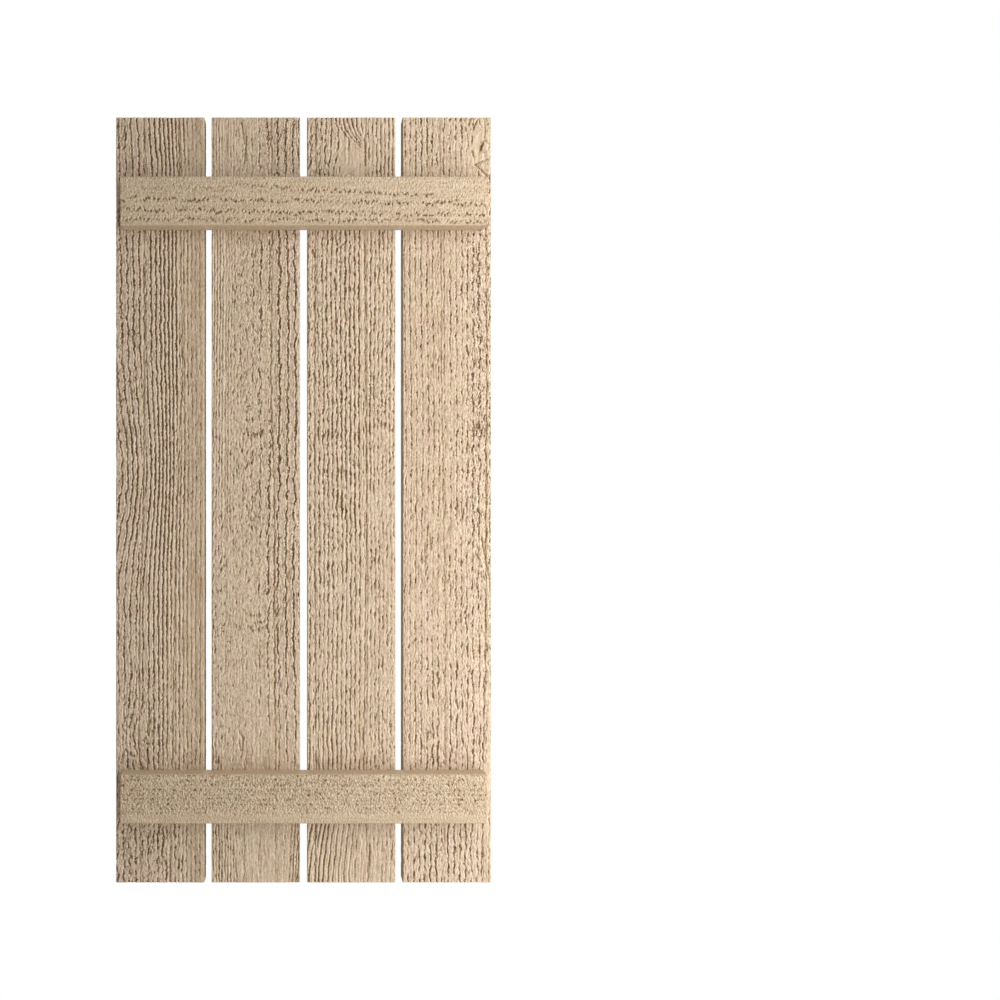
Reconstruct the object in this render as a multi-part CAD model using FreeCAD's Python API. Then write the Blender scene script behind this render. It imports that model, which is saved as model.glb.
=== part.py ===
import FreeCAD
import Part
import math
import os

# A spaced board and batten shutter: four upright boards with open gaps between them, tied
# together by two battens across the front, and screwed from the wall side so that no fixing
# shows. All lengths are in millimetres.
# Seen from the front, X runs right and Z up. The wall is the plane Y = 0 and the shutter
# stands out of it towards -Y. The origin is the lower left corner of the wall face.

# Boards
BOARD_COUNT = 4
BOARD_LENGTH = 1219.2
BOARD_WIDTH = 141.3
BOARD_THICKNESS = 25.4
BOARD_GAP = 11.0
BOARD_ARRIS_RADIUS = 2.0

# Main grooves that wear has opened along the grain, two up the front of each board. A row is one
# groove: its distances from the board's centre line at even steps from the foot to the top.
GRAIN_GROOVES = (
    ((-33.0, -35.0, -35.0, -28.0, -27.0, -27.0, -27.0), (14.0, 18.0, 21.0, 25.0, 34.0, 31.0, 28.0)),
    ((-50.0, -50.0, -49.0, -50.0, -49.0, -48.0, -48.0), (30.0, 30.0, 28.0, 28.0, 22.0, 25.0, 23.0)),
    ((-59.0, -58.0, -59.0, -60.0, -60.0, -59.0, -58.0), (25.0, 18.0, 21.0, 23.0, 21.0, 20.0, 21.0)),
    ((-7.0, -4.0, -4.0, -7.0, -10.0, -11.0, -13.0), (54.0, 57.0, 60.0, 61.0, 62.0, 61.0, 58.0)),
)
GRAIN_GROOVE_WIDTH = 3.2
GRAIN_GROOVE_DEPTH = 1.6

# Battens
BATTEN_WIDTH = 77.0
BATTEN_THICKNESS = 25.4
BATTEN_TO_BOARD_END = 102.8
BATTEN_END_INSET = 12.7
BATTEN_ARRIS_RADIUS = 2.0

# Countersunk screws, two through each board into each batten
SCREW_LENGTH = 44.0
SCREW_HEAD_DIAMETER = 8.4
SCREW_HEAD_RIM = 0.5
SCREW_SHANK_DIAMETER = 4.2
SCREW_POINT_LENGTH = 6.0
SCREW_SUNK = 0.6
SCREW_ACROSS_BOARD = 84.0
SCREW_ACROSS_BATTEN = 34.0

# Cross recess in each screw head
RECESS_DEPTH = 2.2
RECESS_REACH = 2.3
RECESS_BREADTH = 1.1
RECESS_FLOOR_SCALE = 0.55

# Clearances of the holes round the screws
HEAD_CLEARANCE = 0.1
SHANK_CLEARANCE = 0.3
PILOT_CLEARANCE = 0.05
POINT_CLEARANCE = 0.8

Y_AXIS = FreeCAD.Vector(0, 1, 0)
Z_AXIS = FreeCAD.Vector(0, 0, 1)
ORIGIN = FreeCAD.Vector(0, 0, 0)
OVERSHOOT = 1.0

board_pitch = BOARD_WIDTH + BOARD_GAP
shutter_width = BOARD_COUNT * BOARD_WIDTH + (BOARD_COUNT - 1) * BOARD_GAP
board_front = -BOARD_THICKNESS
head_top = -SCREW_SUNK
screw_point = head_top - SCREW_LENGTH
batten_length = shutter_width - 2 * BATTEN_END_INSET
batten_low_edges = {
    "top": BOARD_LENGTH - BATTEN_TO_BOARD_END - BATTEN_WIDTH,
    "bottom": BATTEN_TO_BOARD_END,
}


def eased_bar(width, thickness, length, arris_radius):
    """A square-cut bar standing on Z = 0, width along X and thickness towards -Y, with its two
    front arrises rounded over and its back arrises left sharp."""
    on_arc = arris_radius * (1 - math.sqrt(0.5))
    back_left = FreeCAD.Vector(0, 0, 0)
    back_right = FreeCAD.Vector(width, 0, 0)
    right_arc = (
        FreeCAD.Vector(width, arris_radius - thickness, 0),
        FreeCAD.Vector(width - on_arc, on_arc - thickness, 0),
        FreeCAD.Vector(width - arris_radius, -thickness, 0),
    )
    left_arc = (
        FreeCAD.Vector(arris_radius, -thickness, 0),
        FreeCAD.Vector(on_arc, on_arc - thickness, 0),
        FreeCAD.Vector(0, arris_radius - thickness, 0),
    )
    outline = Part.Wire([
        Part.LineSegment(back_left, back_right).toShape(),
        Part.LineSegment(back_right, right_arc[0]).toShape(),
        Part.Arc(*right_arc).toShape(),
        Part.LineSegment(right_arc[2], left_arc[0]).toShape(),
        Part.Arc(*left_arc).toShape(),
        Part.LineSegment(left_arc[2], back_left).toShape(),
    ])
    return Part.Face(outline).extrude(Z_AXIS * length)


def turned(profile):
    """A solid turned about the Y axis from a list of (radius, y) corners."""
    corners = [FreeCAD.Vector(radius, y, 0) for radius, y in profile]
    outline = Part.makePolygon(corners + corners[:1])
    return Part.Face(outline).revolve(ORIGIN, Y_AXIS, 360)


def make_grain_groove(distances):
    """A shallow V-shaped groove up the front of a board whose centre line is X = 0, as one
    straight run from each of its distances to the next."""
    rise = (BOARD_LENGTH + 2 * OVERSHOOT) / (len(distances) - 1)
    reach = GRAIN_GROOVE_WIDTH / 2 * (1 + OVERSHOOT / GRAIN_GROOVE_DEPTH)
    mouth = board_front - OVERSHOOT
    runs = []
    for step, (x, next_x) in enumerate(zip(distances, distances[1:])):
        foot = step * rise - OVERSHOOT
        left_lip = FreeCAD.Vector(x - reach, mouth, foot)
        right_lip = FreeCAD.Vector(x + reach, mouth, foot)
        bottom = FreeCAD.Vector(x, board_front + GRAIN_GROOVE_DEPTH, foot)
        section = Part.makePolygon([left_lip, right_lip, bottom, left_lip])
        runs.append(Part.Face(section).extrude(FreeCAD.Vector(next_x - x, 0, rise)))
    return runs


def make_screw_blank():
    """A countersunk screw driven in from the wall side, before its recess is cut."""
    head_radius = SCREW_HEAD_DIAMETER / 2
    shank_radius = SCREW_SHANK_DIAMETER / 2
    cone_top = head_top - SCREW_HEAD_RIM
    return turned([
        (0, head_top),
        (head_radius, head_top),
        (head_radius, cone_top),
        (shank_radius, cone_top - (head_radius - shank_radius)),
        (shank_radius, screw_point + SCREW_POINT_LENGTH),
        (0, screw_point),
    ])


def recess_arm(reach, breadth):
    """One arm of the driver recess, from the open air above the head down to its floor. It
    reaches equally to both sides of the axis and draws in with depth at an even slope."""
    floor = head_top - RECESS_DEPTH
    mouth = head_top + OVERSHOOT
    growth = 1 + (1 - RECESS_FLOOR_SCALE) * OVERSHOOT / RECESS_DEPTH
    x_floor = reach * RECESS_FLOOR_SCALE
    z_floor = breadth / 2 * RECESS_FLOOR_SCALE
    x_mouth = reach * growth
    z_mouth = breadth / 2 * growth
    return Part.makeWedge(
        -x_floor, floor, -z_floor, -z_mouth, -x_mouth,
        x_floor, mouth, z_floor, z_mouth, x_mouth,
    )


def make_recess():
    """The cross-shaped driver recess, two tapered arms at right angles."""
    arm = recess_arm(RECESS_REACH, RECESS_BREADTH)
    crossing_arm = arm.copy()
    crossing_arm.rotate(ORIGIN, Y_AXIS, 90)
    return arm.fuse(crossing_arm)


def make_screw():
    """One screw on the Y axis, its head just under the wall face and its point in the batten."""
    return make_screw_blank().cut(make_recess())


def make_board_hole():
    """The clearance hole for one screw, right through a board, with a countersink whose cone
    runs on past the sunk head to the wall face."""
    hole_radius = SCREW_SHANK_DIAMETER / 2 + SHANK_CLEARANCE
    cone_top = head_top - SCREW_HEAD_RIM
    mouth_radius = SCREW_HEAD_DIAMETER / 2 + HEAD_CLEARANCE - cone_top
    return turned([
        (0, OVERSHOOT),
        (mouth_radius + OVERSHOOT, OVERSHOOT),
        (hole_radius, hole_radius - mouth_radius),
        (hole_radius, board_front - OVERSHOOT),
        (0, board_front - OVERSHOOT),
    ])


def make_pilot_hole():
    """The blind hole in a batten that takes the end of one screw."""
    radius = SCREW_SHANK_DIAMETER / 2 + PILOT_CLEARANCE
    end = screw_point - POINT_CLEARANCE
    return turned([(0, board_front), (radius, board_front), (radius, end), (0, end)])


def screw_centres(batten):
    """(x, z) of the two screws in each board at one batten, set on a slant so that they don't
    share a line of grain. The slants of the two battens mirror each other."""
    middle = batten_low_edges[batten] + BATTEN_WIDTH / 2
    slant = 1 if batten == "top" else -1
    centres = []
    for number in range(BOARD_COUNT):
        centre_line = number * board_pitch + BOARD_WIDTH / 2
        for side in (-1, 1):
            x = centre_line + side * SCREW_ACROSS_BOARD / 2
            z = middle + side * slant * SCREW_ACROSS_BATTEN / 2
            centres.append((x, z))
    return centres


def placed(shape, x, z):
    """A copy of a shape, moved by x and z over the shutter."""
    copy = shape.copy()
    copy.translate(FreeCAD.Vector(x, 0, z))
    return copy


def make_board(number):
    """One upright board, worn into grooves along its grain and drilled for its screws."""
    left = number * board_pitch
    board = eased_bar(BOARD_WIDTH, BOARD_THICKNESS, BOARD_LENGTH, BOARD_ARRIS_RADIUS)
    board.translate(FreeCAD.Vector(left, 0, 0))
    hole = make_board_hole()
    holes = [
        placed(hole, x, z)
        for batten in batten_low_edges
        for x, z in screw_centres(batten)
        if left < x < left + BOARD_WIDTH
    ]
    grooves = [
        placed(run, left + BOARD_WIDTH / 2, 0)
        for distances in GRAIN_GROOVES[number % len(GRAIN_GROOVES)]
        for run in make_grain_groove(distances)
    ]
    return board.cut(holes + grooves)


def make_batten(batten):
    """One batten, laid across the fronts of the boards and drilled for its screws."""
    bar = eased_bar(BATTEN_WIDTH, BATTEN_THICKNESS, batten_length, BATTEN_ARRIS_RADIUS)
    bar.rotate(ORIGIN, Y_AXIS, 90)
    high_edge = batten_low_edges[batten] + BATTEN_WIDTH
    bar.translate(FreeCAD.Vector(BATTEN_END_INSET, board_front, high_edge))
    pilot = make_pilot_hole()
    return bar.cut([placed(pilot, x, z) for x, z in screw_centres(batten)])


def export(name, shape):
    """Writes one piece to its STEP file."""
    piece = shape.Solids[0] if len(shape.Solids) == 1 else shape
    piece.exportStep(os.path.join("parts", name + ".step"))


def main():
    os.makedirs("parts", exist_ok=True)
    for number in range(BOARD_COUNT):
        export(f"board_{number + 1}", make_board(number))
    screw = make_screw()
    for batten in batten_low_edges:
        export(f"{batten}_batten", make_batten(batten))
        for count, (x, z) in enumerate(screw_centres(batten), start=1):
            export(f"{batten}_screw_{count}", placed(screw, x, z))


main()
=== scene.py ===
import math
from dataclasses import dataclass

import bmesh
import bpy
import numpy as np
from mathutils import Matrix, Vector


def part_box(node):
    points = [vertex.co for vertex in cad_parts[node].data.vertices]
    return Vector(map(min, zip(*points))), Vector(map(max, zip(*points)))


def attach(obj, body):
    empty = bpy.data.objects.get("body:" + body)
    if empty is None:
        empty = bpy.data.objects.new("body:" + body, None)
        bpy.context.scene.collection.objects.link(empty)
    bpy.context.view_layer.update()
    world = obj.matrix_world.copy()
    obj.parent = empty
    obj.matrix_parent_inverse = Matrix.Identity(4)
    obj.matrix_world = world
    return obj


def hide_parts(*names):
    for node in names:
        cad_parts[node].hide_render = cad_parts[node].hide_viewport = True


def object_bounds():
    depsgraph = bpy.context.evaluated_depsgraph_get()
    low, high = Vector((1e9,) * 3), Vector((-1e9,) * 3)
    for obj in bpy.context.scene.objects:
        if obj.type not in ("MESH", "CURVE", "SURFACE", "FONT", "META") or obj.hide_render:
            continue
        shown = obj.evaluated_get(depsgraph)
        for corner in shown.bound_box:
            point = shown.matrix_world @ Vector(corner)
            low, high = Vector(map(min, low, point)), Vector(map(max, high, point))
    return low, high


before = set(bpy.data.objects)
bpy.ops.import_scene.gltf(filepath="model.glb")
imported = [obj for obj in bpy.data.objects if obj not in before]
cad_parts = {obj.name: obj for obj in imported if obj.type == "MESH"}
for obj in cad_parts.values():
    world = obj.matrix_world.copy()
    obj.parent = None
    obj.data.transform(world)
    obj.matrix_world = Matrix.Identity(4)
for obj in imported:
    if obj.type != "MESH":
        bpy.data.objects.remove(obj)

# A spaced board and batten shutter, rough textured and primed tan. Four upright boards and two
# battens across them get their worn grain here. Lengths are in metres, and names that end in
# _MM or _mm are in millimetres, as grain is measured.
# Seen from the front, X runs right and Z up, and the shutter stands out from the wall to -Y.

cad_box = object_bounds()

MM = 0.001
BOARDS = ["board_1", "board_2", "board_3", "board_4"]
BATTENS = ["top_batten", "bottom_batten"]
SCREWS = [f"{place}_screw_{number}" for place in ("top", "bottom") for number in range(1, 9)]

# Camera, from the sides and undersides that the photograph's lens shows
CAMERA_TO_BOARDS = 1.40
VIEW_WIDTH_AT_BOARDS = 1.5931
SENSOR_WIDTH_MM = 36.0
VIEW_SHIFT = 0.1965

# Skin of a bar
ARRIS_RADIUS = 2.0 * MM
FRONT_STEP = 0.9 * MM
BOARD_ROW_STEP = 2.3 * MM
BATTEN_ROW_STEP = 1.0 * MM
SIDE_STEPS = 5
ARRIS_STEPS = 3

# Countersunk holes in the back
HOLE_MOUTH_RADIUS = 5.4 * MM
HOLE_RADIUS = 2.4 * MM
HOLE_CONE_DEPTH = 3.0 * MM
HOLE_DEPTH = 20.0 * MM
HOLE_SEGMENTS = 32

# The sawn finish's place in a bar's list of materials
SAWN_SLOT = 1

# Cells of the noise each way before it repeats
NOISE_CELLS = 512

# Noise over a board: the width and height of its cells in mm, and its own part of the seed. The
# cells of the beads are one grain line wide.
DRIFT_NOISE = (200, 240, 0)
WAVER_NOISE = (11, 15, 1)
FINE_WAVER_NOISE = (5.5, 7.5, 2)
JAG_NOISE = (3.6, 4.8, 3)
STREAK_NOISE = (2.1, 8, 5)
GRIT_NOISE = (1.9, 5, 6)
FIBRE_NOISE = (2.2, 11, 7)
SLANT_NOISE = (90, 120, 8)
BEAD_NOISE = (1, 5.5, 9)
LONG_BEAD_NOISE = (1, 24, 13)
GROOVE_STRAY_NOISE = (8, 6, 15)
GROOVE_BREAK_NOISE = (1, 9, 17)
CRACK_NOISE = (5, 5, 0)

# How the grain lines run
DRIFT_MM = 4
LEAST_JAG_MM = 0.15
CHIP_JAG_MM = 1.6
COUNT_MARGIN_MM = 30
COUNT_SAMPLES = 800
LINES_PER_MM = (0.05, 0.5)

# Seams that grain lines turn aside to
SEAM_SLOPE = 0.9
SEAM_EASE = 0.6
SEAM_CALM_SHARE = 0.035
SEAM_FADE_SHARE = 0.09
SEAM_SPARE_LINES = 2

# How a board is worn
GROOVE_DEPTH_MM = 1.6
GROOVE_HALF_WIDTH_MM = 1.25
FAINT_GROOVE_SHARE = 1.05
BOLD_GROOVE_GROWTH = 0.12
MOST_BOLD = 2
# Range over which a groove is worn, which the painted shade of the finish follows too
WEAR_AND_SHADE_RANGE = (0.05, 1.2)
LIP_AWAY_MM = 2.4
LIP_HALF_WIDTH_MM = 1.0
LIP_HEIGHT_MM = 0.3
FIBRE_DEPTH_MM = 0.4
BEAD_SHARE = 0.7
LONG_BEAD_SHARE = 0.2
CHIP_BOLDNESS = 0.35
FLECK_STRENGTH = 1.7
STREAK_SHARE = 0.7
GRIT_SHARE = 0.6
FLECK_THRESHOLD = 0.22
STREAK_SLANT = 0.25
SIDE_SHARE = 0.35

# Main grooves, which the solids have too
MAIN_GROOVE_HALF_WIDTH_MM = 1.3
MAIN_GROOVE_STRAY_MM = 1.6
MAIN_GROOVE_LEVEL = 0.8
MAIN_GROOVE_BREAKS = 0.5
CLEARED_SHARE = 0.8
CLEARED_HALF_WIDTHS = 3

# Cracks and knots
CRACK_STRAY_MM = 0.8
CRACK_HALF_WIDTH_MM = 1.4
KNOT_TALLNESS = 1.35
KNOT_RING_DEPTH = 0.6
KNOT_RING_HALF_WIDTH_MM = 1.1
KNOT_HEART_DEPTH = 1.5
KNOT_HEART_ASIDE = 0.65
KNOT_HEART_LEAN = 0.45
KNOT_HEART_BREADTH = 0.3
KNOT_HEART_HEIGHT = 0.95

# Noise over a batten, as for a board. The cells of the stipple are shares of its size, and a
# row's bends are the same over the whole height.
STIPPLE_NOISE = (1, 1.5, 0)
FINE_STIPPLE_NOISE = (0.6, 0.7, 1)
PIT_NOISE = (2.4, 2.4, 2)
COMB_NOISE = (24, 1.9, 3)
ROUGH_NOISE = (17, 9, 4)
ROW_DRIFT_NOISE = (40, 40, 5)
ZIGZAG_NOISE = (3.3, 1, 0)
BEND_NOISE = (30, 1, 1)
ROW_PIT_NOISE = (1.9, 3.0, 2)
FIRST_ROW_SEED = 10
SEEDS_PER_ROW = 3

# How a batten is worn
STIPPLE_LEVEL = 0.5
STIPPLE_SWING = 0.35
FINE_STIPPLE_SHARE = 0.5
STIPPLE_DEPTH_MM = 1.3
PIT_DEPTH_MM = 1.6
COMB_DEPTH_MM = 0.3
PIT_RANGE = (0.2, 0.8)
PIT_ROW_PITCH_MM = 7.4
ROW_DRIFT_MM = 1.5
ZIGZAG_MM = 3.0
BEND_MM = 1.5
ROW_PIT_RANGE = (-0.12, 0.4)
ROW_HALF_HEIGHT_MM = 2.2
ROW_END_EASE_MM = 8
FOOT_EASE_MM = 5
FOOT_STIPPLE_SHARE = 0.3

# Tone and mottling of a batten's front, with painted shade in its pits, stipple hollows and comb marks
PIT_SHADE_TONE = 0.55
STIPPLE_SHADE_TONE = 0.35
STIPPLE_TONE_RANGE = (0.4, 1)
COMB_SHADE_TONE = 0.08
FOOT_TONE = 0.06
ROUGH_LEVEL = 0.9
ROUGH_SWING = 0.15
FOOT_ROUGH_SHARE = 0.6
SIDE_ROUGH = 0.4

# Floor
FLOOR_REACH = 4.0
FLOOR_DROP = 0.9
FLOOR_FORWARD = 0.5
FLOOR_GREY = (0.8, 0.8, 0.8, 1)
FLOOR_ROUGHNESS = 0.9
FLOOR_FADE = (0.6, 1.5)
FLOOR_WHITE_NEAR_BY = 0.8

# Light
WHITE = (1, 1, 1, 1)
KEY_SIZE = (0.4, 2.2)
KEY_WATTS = 27.7
KEY_FROM_CENTRE = (0.98, -0.58, 0)
REAR_SIZE = (0.8, 1.6)
REAR_WATTS = 22
REAR_FROM_CENTRE = (0, 2.5, 0.2)
FILL_STRENGTH = 0.43


def smooth_step(low, high, value):
    """0 below low, 1 above high and an even ease between them."""
    share = np.clip((value - low) / (high - low), 0, 1)
    return share * share * (3 - 2 * share)


def noise(x, y, seed):
    """Smooth noise from -1 to 1 over a lattice of unit cells."""
    table = np.random.default_rng(seed).uniform(-1, 1, (NOISE_CELLS, NOISE_CELLS))
    column = np.floor(x).astype(int)
    row = np.floor(y).astype(int)
    right = smooth_step(0, 1, x - column)
    up = smooth_step(0, 1, y - row)
    near, far = column % NOISE_CELLS, (column + 1) % NOISE_CELLS
    low, high = row % NOISE_CELLS, (row + 1) % NOISE_CELLS
    lower = table[low, near] * (1 - right) + table[low, far] * right
    upper = table[high, near] * (1 - right) + table[high, far] * right
    return lower * (1 - up) + upper * up


def clouds(x_mm, y_mm, kind, seed, size=1):
    """Noise of one kind: the width and height of its cells, times size, and its part of the seed."""
    width, height, own_seed = kind
    return noise(x_mm / (width * size), y_mm / (height * size), seed + own_seed)


class Outline:
    """The cross-section of a bar, from one back corner round the front to the other. across
    runs over the bar's width, out runs away from the wall, and girth is measured round it."""

    def __init__(self, width, thickness):
        side = thickness - ARRIS_RADIUS
        flat = width - 2 * ARRIS_RADIUS
        front_steps = round(flat / FRONT_STEP)
        points = [(0, side * step / SIDE_STEPS, -1, 0) for step in range(SIDE_STEPS)]
        points += self.arris(ARRIS_RADIUS, side, math.pi)
        for step in range(1, front_steps):
            points.append((ARRIS_RADIUS + flat * step / front_steps, thickness, 0, 1))
        points += self.arris(width - ARRIS_RADIUS, side, math.pi / 2)
        points += [(width, side * step / SIDE_STEPS, 1, 0) for step in reversed(range(SIDE_STEPS))]
        self.across, self.out, self.face_across, self.face_out = np.array(points).T
        steps = np.hypot(np.diff(self.across), np.diff(self.out))
        self.girth = np.concatenate([[0], np.cumsum(steps)]) - thickness

    def arris(self, across, out, start):
        """The quarter circle of one front arris, turning clockwise from the start angle."""
        points = []
        for step in range(ARRIS_STEPS + 1):
            angle = start - step / ARRIS_STEPS * math.pi / 2
            cos, sin = math.cos(angle), math.sin(angle)
            points.append((across + ARRIS_RADIUS * cos, out + ARRIS_RADIUS * sin, cos, sin))
        return points


class Bar:
    """A bar's skin laid out on its CAD box. along runs up a board and right along a batten."""

    def __init__(self, node, row_step):
        low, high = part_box(node)
        size = Vector(high) - Vector(low)
        self.low = Vector(low)
        self.back = high[1]
        self.upright = size.z > size.x
        self.width = size.x if self.upright else size.z
        self.length = size.z if self.upright else size.x
        self.thickness = size.y
        self.outline = Outline(self.width, self.thickness)
        self.rows = round(self.length / row_step)
        along = np.linspace(0, self.length, self.rows + 1)
        self.girth_mm, self.along_mm = np.meshgrid(self.outline.girth / MM, along / MM)
        self.front = np.broadcast_to(self.outline.face_out, self.girth_mm.shape)

    def place(self, across, out, along):
        """A point of the bar, in the frame."""
        if self.upright:
            return self.low.x + across, self.back - out, self.low.z + along
        return self.low.x + along, self.back - out, self.low.z + across


def worn_skin(bar, depth_mm, layers):
    """The front and sides of a bar as one sheet, worn down by depth_mm at each of its points.
    Each of the named layers gives every point a value for the finish."""
    outline = bar.outline
    columns = len(outline.across) - 1
    mesh = bmesh.new()
    bmesh.ops.create_grid(mesh, x_segments=columns, y_segments=bar.rows, size=1)
    depth_mm = np.maximum(depth_mm, 0)
    across = outline.across - outline.face_across * depth_mm * MM
    out = outline.out - outline.face_out * depth_mm * MM
    places = np.stack(np.broadcast_arrays(*bar.place(across, out, bar.along_mm * MM)), axis=-1)
    named = [(mesh.verts.layers.float.new(name), values) for name, values in layers.items()]
    for vert in mesh.verts:
        column = round((vert.co.x + 1) / 2 * columns)
        row = round((vert.co.y + 1) / 2 * bar.rows)
        vert.co = places[row, column]
        for layer, values in named:
            vert[layer] = values[row, column]
    for face in mesh.faces:
        face.smooth = True
    return mesh


def close_ends_and_back(mesh, bar, holes):
    """Fills the square-cut ends and the flat back of a bar, and sinks the screw holes."""
    rim = [edge for edge in mesh.edges if edge.is_boundary]
    for edge in rim:
        edge.smooth = False
    axis = 2 if bar.upright else 0
    tolerance = bar.length / bar.rows / 2
    ends = [
        [edge for edge in rim if all(abs(vert.co[axis] - cut) < tolerance for vert in edge.verts)]
        for cut in (bar.low[axis], bar.low[axis] + bar.length)
    ]
    in_ends = set(ends[0]) | set(ends[1])
    back_edges = [edge for edge in rim if edge not in in_ends]
    filled = []
    for end in ends:
        corners = [
            vert for edge in end for vert in edge.verts
            if sum(link in in_ends for link in vert.link_edges) == 1
        ]
        closing = mesh.edges.get(corners) or mesh.edges.new(corners)
        back_edges.append(closing)
        filled += bmesh.ops.triangle_fill(mesh, use_beauty=True, edges=end + [closing])["geom"]
    for x, z in holes:
        mouth, walls = sink_hole(mesh, bar, x, z)
        back_edges += mouth
        filled += walls
    filled += bmesh.ops.triangle_fill(mesh, use_beauty=True, edges=back_edges)["geom"]
    for item in filled:
        if isinstance(item, bmesh.types.BMFace):
            item.material_index = SAWN_SLOT
    bmesh.ops.recalc_face_normals(mesh, faces=mesh.faces)


def sink_hole(mesh, bar, x, z):
    """A countersunk hole in the back, from its mouth's edges down. Returns the mouth's edges
    and all that lies under them."""
    flat_to_wall = Matrix.Rotation(math.pi / 2, 4, "X")
    ring = bmesh.ops.create_circle(
        mesh, cap_ends=False, segments=HOLE_SEGMENTS, radius=HOLE_MOUTH_RADIUS,
        matrix=Matrix.Translation((x, bar.back, z)) @ flat_to_wall,
    )
    mouth = list({edge for vert in ring["verts"] for edge in vert.link_edges})
    edges = mouth
    walls = []
    for depth, scale in ((HOLE_CONE_DEPTH, HOLE_RADIUS / HOLE_MOUTH_RADIUS), (HOLE_DEPTH, 1)):
        made = bmesh.ops.extrude_edge_only(mesh, edges=edges)["geom"]
        walls += made
        verts = [item for item in made if isinstance(item, bmesh.types.BMVert)]
        edges = [item for item in made if isinstance(item, bmesh.types.BMEdge)]
        edges = [edge for edge in edges if edge.verts[0] in verts and edge.verts[1] in verts]
        for vert in verts:
            vert.co.x = x + (vert.co.x - x) * scale
            vert.co.z = z + (vert.co.z - z) * scale
            vert.co.y = bar.back - depth
    walls += bmesh.ops.edgeloop_fill(mesh, edges=edges)["faces"]
    return mouth, walls


def add_object(name, data):
    """A new object in the scene."""
    added = bpy.data.objects.new(name, data)
    bpy.context.scene.collection.objects.link(added)
    return added


def finish_piece(name, mesh, materials):
    """Turns a finished bmesh into a piece that stands for the CAD node of its name."""
    data = bpy.data.meshes.new(name + "_grain")
    mesh.to_mesh(data)
    mesh.free()
    for material in materials:
        data.materials.append(material)
    piece = add_object(name + "_grain", data)
    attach(piece, "root")
    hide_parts(name)
    return piece


@dataclass
class Grain:
    """How one board's grain runs and how far it is worn. Across and up are shares of its width
    and height, and a patch is across, up, half width in mm and half height in mm."""
    seed: int
    # The pitch of the grain lines and how far they waver, at even steps from left to right
    spacing_mm: tuple
    waver_mm: tuple
    # How bold the lines are and how far they break up, as tables of the face, top row first
    lines: tuple
    chips: tuple
    # The solid's main grooves: boldness, then distances from the centre line from foot to top
    grooves_mm: tuple
    # Across, up, half width and half height as shares, and the shift aside in mm
    sweeps: tuple = ()
    # Patch, and how many lines bend round it
    arches: tuple = ()
    # Across, top, bottom, and how far across the first line is that turns aside to it
    seams: tuple = ()
    # Patch, and the share of the wear that is lost
    calm: tuple = ()
    # Across, up, radius in mm and depth
    knots: tuple = ()
    spots: tuple = ()
    # Across and up of both ends, and depth
    cracks: tuple = ()
    # Patch, and how much darker it is
    shades: tuple = ()


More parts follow.
